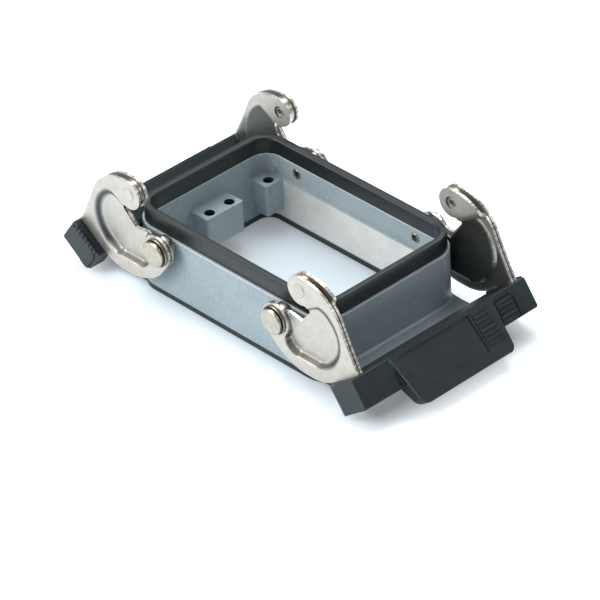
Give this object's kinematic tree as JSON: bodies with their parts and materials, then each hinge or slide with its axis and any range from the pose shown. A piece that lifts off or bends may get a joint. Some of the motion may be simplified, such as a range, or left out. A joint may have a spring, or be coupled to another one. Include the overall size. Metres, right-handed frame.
{
  "type": "bulkhead housing of a heavy duty rectangular connector",
  "caption": "Open rectangular connector housing for a panel, with flange, sealing gaskets, insert bosses and locking levers that swing on pivots at its long sides.",
  "frame": {"origin": "centre of the footprint, on the underside of the flange gasket that rests on the panel", "axes": "+X along the long side of the housing, +Z out of the panel towards the mating hood"},
  "size_m": [0.1434, 0.0704, 0.0388],
  "materials": {
    "coated_housing": "fine textured powder coat, light blue-grey",
    "plated_arm": "bright nickel plated stamped steel",
    "plated_steel": "nickel plated turned steel",
    "rubber": "matte moulded nitrile rubber",
    "moulded_handle": "fine textured black glass filled polyamide"
  },
  "bodies": {
    "housing": {"housing": "coated_housing", "rim_gasket": "rubber", "flange_gasket": "rubber", "right_front_pivot_stud": "plated_steel", "right_front_pivot_washer": "plated_steel", "right_front_pivot_spacer": "plated_steel", "right_rear_pivot_stud": "plated_steel", "right_rear_pivot_washer": "plated_steel", "right_rear_pivot_spacer": "plated_steel", "left_front_pivot_stud": "plated_steel", "left_front_pivot_washer": "plated_steel", "left_front_pivot_spacer": "plated_steel", "left_rear_pivot_stud": "plated_steel", "left_rear_pivot_washer": "plated_steel", "left_rear_pivot_spacer": "plated_steel"},
    "right_lever": {"right_handle": "moulded_handle", "right_front_outer_plate": "plated_arm", "right_front_inner_plate": "plated_arm", "right_front_roller_rivet": "plated_arm", "right_rear_outer_plate": "plated_arm", "right_rear_inner_plate": "plated_arm", "right_rear_roller_rivet": "plated_arm"},
    "right_front_roller": {"right_front_nose_roller": "plated_steel"},
    "right_rear_roller": {"right_rear_nose_roller": "plated_steel"},
    "left_lever": {"left_handle": "moulded_handle", "left_front_outer_plate": "plated_arm", "left_front_inner_plate": "plated_arm", "left_front_roller_rivet": "plated_arm", "left_rear_outer_plate": "plated_arm", "left_rear_inner_plate": "plated_arm", "left_rear_roller_rivet": "plated_arm"},
    "left_front_roller": {"left_front_nose_roller": "plated_steel"},
    "left_rear_roller": {"left_rear_nose_roller": "plated_steel"}
  },
  "joints": [
    {"name": "right_lever_pivot", "type": "hinge", "parent": "housing", "child": "right_lever", "pos_m": [0.025, 0, 0.019], "axis": [0, -1, 0], "range_deg": [-2, 70]},
    {"name": "right_front_roller_spin", "type": "hinge", "parent": "right_lever", "child": "right_front_roller", "pos_m": [0.036, -0.0303, 0.0341], "axis": [0, 1, 0], "continuous": true},
    {"name": "right_rear_roller_spin", "type": "hinge", "parent": "right_lever", "child": "right_rear_roller", "pos_m": [0.036, 0.0303, 0.0341], "axis": [0, 1, 0], "continuous": true},
    {"name": "left_lever_pivot", "type": "hinge", "parent": "housing", "child": "left_lever", "pos_m": [-0.025, 0, 0.019], "axis": [0, 1, 0], "range_deg": [-2, 70]},
    {"name": "left_front_roller_spin", "type": "hinge", "parent": "left_lever", "child": "left_front_roller", "pos_m": [-0.036, -0.0303, 0.0341], "axis": [0, 1, 0], "continuous": true},
    {"name": "left_rear_roller_spin", "type": "hinge", "parent": "left_lever", "child": "left_rear_roller", "pos_m": [-0.036, 0.0303, 0.0341], "axis": [0, 1, 0], "continuous": true}
  ]
}
